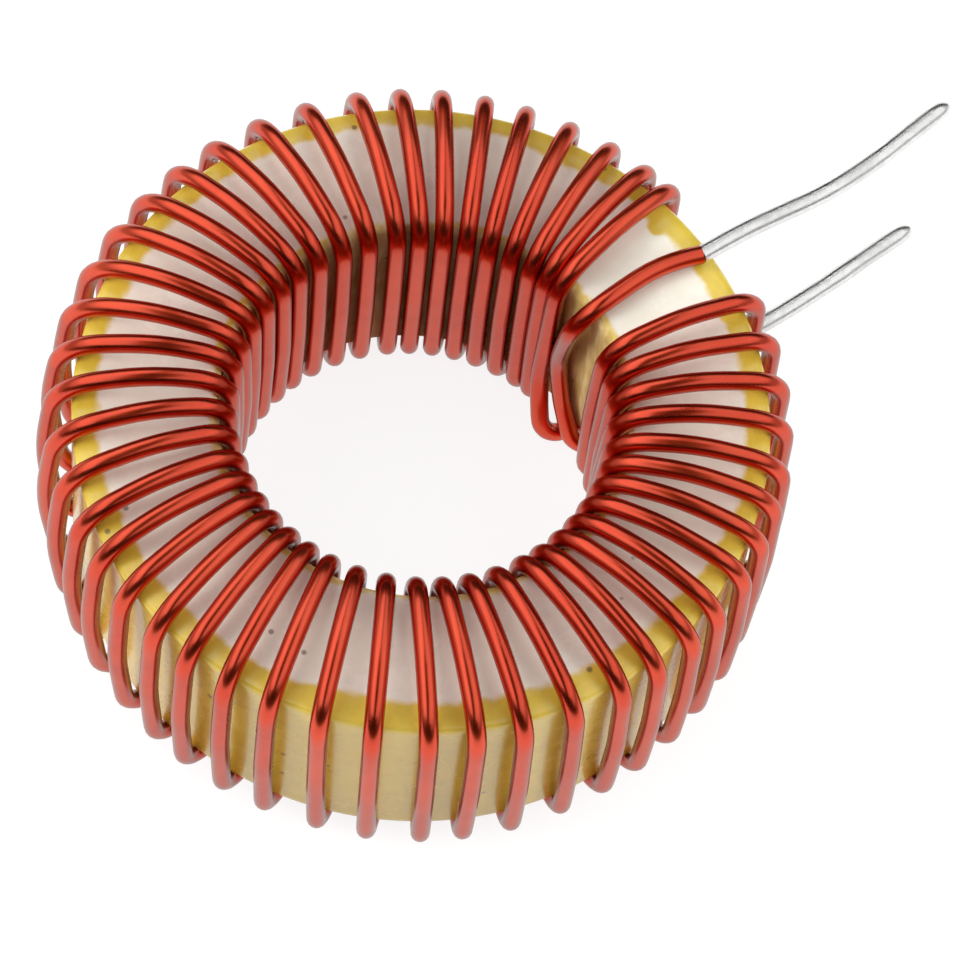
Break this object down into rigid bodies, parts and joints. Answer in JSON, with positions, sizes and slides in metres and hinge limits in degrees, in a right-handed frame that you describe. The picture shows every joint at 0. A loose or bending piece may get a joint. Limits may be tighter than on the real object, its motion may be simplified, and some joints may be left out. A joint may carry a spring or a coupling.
{
  "type": "toroidal inductor",
  "caption": "Ring-shaped choke: one enamelled copper wire wound in a single layer round a painted iron-powder ring, with two tinned leads side by side.",
  "frame": {"origin": "on the ring's axis, at the height of the surface that its lower turns lie on", "axes": "+Z along the ring's axis, from the lower face to the white upper face; +X along both leads, towards their tips"},
  "size_m": [0.0491, 0.0357, 0.0144],
  "materials": {
    "core_paint": "satin paint, white on the upper face",
    "wire_enamel": "glossy enamel",
    "tinned_wire": "bright solder tinning"
  },
  "bodies": {
    "root": {"core": "core_paint", "winding": "wire_enamel", "start_lead": "tinned_wire", "finish_lead": "tinned_wire"}
  },
  "joints": []
}
